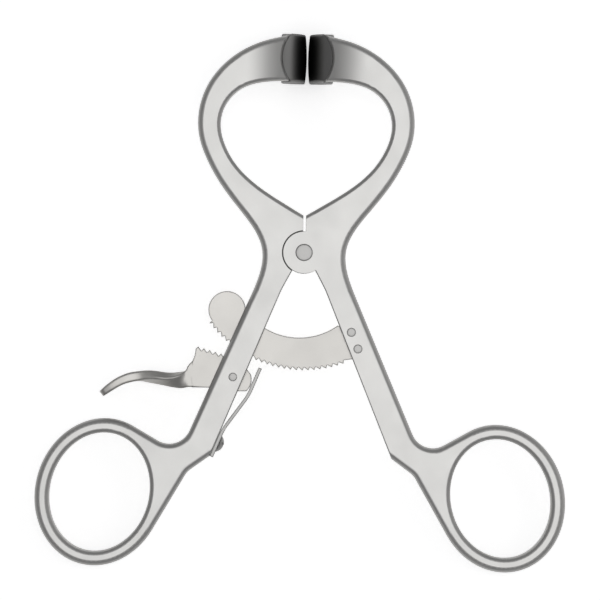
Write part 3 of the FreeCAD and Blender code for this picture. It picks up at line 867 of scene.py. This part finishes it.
def lay_floor(colour):
    """Floor that leans, so that the finger rings and the plate tips both rest on it."""
    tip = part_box("left_bite_plate")[0]
    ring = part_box("left_half")[0]
    slope = math.atan2(ring[2] - tip[2], tip[1] - ring[1])
    rest = Vector((0, ring[1], ring[2] - FLOOR_GAP))
    turn = Matrix.Translation(rest) @ Matrix.Rotation(-slope, 4, "X")
    plane("floor", FLOOR_SIZE, turn, floor_paper(colour))


def studio_world(scene):
    """Grey room that brightens straight overhead."""
    world = bpy.data.worlds.new("studio")
    scene.world = world
    world.use_nodes = True
    tree = world.node_tree
    direction = add_node(tree, "ShaderNodeTexCoord").outputs["Generated"]
    height = add_node(tree, "ShaderNodeSeparateXYZ")
    tree.links.new(direction, height.inputs[0])
    ramp = add_node(tree, "ShaderNodeValToRGB")
    tree.links.new(height.outputs["Z"], ramp.inputs["Fac"])
    stops = ramp.color_ramp.elements
    stops.new(SKY[1][0])
    for stop, (place, colour) in zip(stops, SKY):
        stop.position, stop.color = place, colour
    tree.links.new(ramp.outputs["Color"], tree.nodes["Background"].inputs["Color"])


def set_camera(scene, height):
    """Camera straight in front of the levers, framed as the photograph."""
    lens = bpy.data.cameras.new("camera")
    camera = bpy.data.objects.new("camera", lens)
    scene.collection.objects.link(camera)
    lens.sensor_width = SENSOR * 1000
    lens.lens = 1000 * SENSOR * height / (FRAME_PIXELS * PIXEL)
    lens.clip_start = 0.05
    offset = Vector((-PIVOT_RIGHT_OF_CENTRE * PIXEL, -PIVOT_ABOVE_CENTRE * PIXEL, 0))
    offset.rotate(Matrix.Rotation(PHOTO_ROLL, 3, "Z"))
    target = offset + Vector((0, 0, LEVER_MIDDLE))
    aimed(camera, target + Vector((0, 0, height)), target, PHOTO_ROLL)
    scene.camera = camera


class MOUTHGAG_OT_stage(bpy.types.Operator):
    """Lay the pale floor under the instrument and set the soft light and the camera"""
    bl_idname = "mouthgag.stage"
    bl_label = "Stage"

    def execute(self, context):
        scene = context.scene
        settings = scene.mouthgag_stage
        lay_floor(settings.floor_colour)
        studio_world(scene)
        for name, place, size, power in (
            ("overhead", OVERHEAD_PLACE, OVERHEAD_SIZE, settings.overhead),
            ("side", SIDE_PLACE, SIDE_SIZE, settings.side),
        ):
            area_light(name, STAGE_CENTRE + place, STAGE_CENTRE, size, power)
        set_camera(scene, settings.camera_height)
        scene.view_settings.view_transform = "Standard"
        return {"FINISHED"}


class MOUTHGAG_PT_panel(bpy.types.Panel):
    """Sizes and colours of the mouth gag, with a button for each group"""
    bl_label = "Mouth Gag"
    bl_idname = "MOUTHGAG_PT_panel"
    bl_space_type = "VIEW_3D"
    bl_region_type = "UI"
    bl_category = "Mouth Gag"

    def draw(self, context):
        for group, operators in PANEL_ROWS:
            box = self.layout.box()
            settings = getattr(context.scene, group)
            for name in settings.bl_rna.properties.keys():
                if name not in ("rna_type", "name"):
                    box.prop(settings, name)
            for operator in operators:
                box.operator(operator)


PANEL_ROWS = [
    ("mouthgag_steel", (
        "mouthgag.levers", "mouthgag.plates", "mouthgag.ratchet", "mouthgag.spring",
    )),
    ("mouthgag_pins", ("mouthgag.pins",)),
    ("mouthgag_stage", ("mouthgag.stage",)),
]

CLASSES = (
    SteelSettings,
    PinSettings,
    StageSettings,
    MOUTHGAG_OT_levers,
    MOUTHGAG_OT_plates,
    MOUTHGAG_OT_ratchet,
    MOUTHGAG_OT_spring,
    MOUTHGAG_OT_pins,
    MOUTHGAG_OT_stage,
    MOUTHGAG_PT_panel,
)


def register():
    for cls in CLASSES:
        bpy.utils.register_class(cls)
    bpy.types.Scene.mouthgag_steel = PointerProperty(type=SteelSettings)
    bpy.types.Scene.mouthgag_pins = PointerProperty(type=PinSettings)
    bpy.types.Scene.mouthgag_stage = PointerProperty(type=StageSettings)


def unregister():
    del bpy.types.Scene.mouthgag_stage
    del bpy.types.Scene.mouthgag_pins
    del bpy.types.Scene.mouthgag_steel
    for cls in reversed(CLASSES):
        bpy.utils.unregister_class(cls)


def main():
    register()
    bpy.ops.mouthgag.levers()
    bpy.ops.mouthgag.plates()
    bpy.ops.mouthgag.ratchet()
    bpy.ops.mouthgag.spring()
    bpy.ops.mouthgag.pins()
    bpy.ops.mouthgag.stage()


if __name__ == "__main__":
    main()
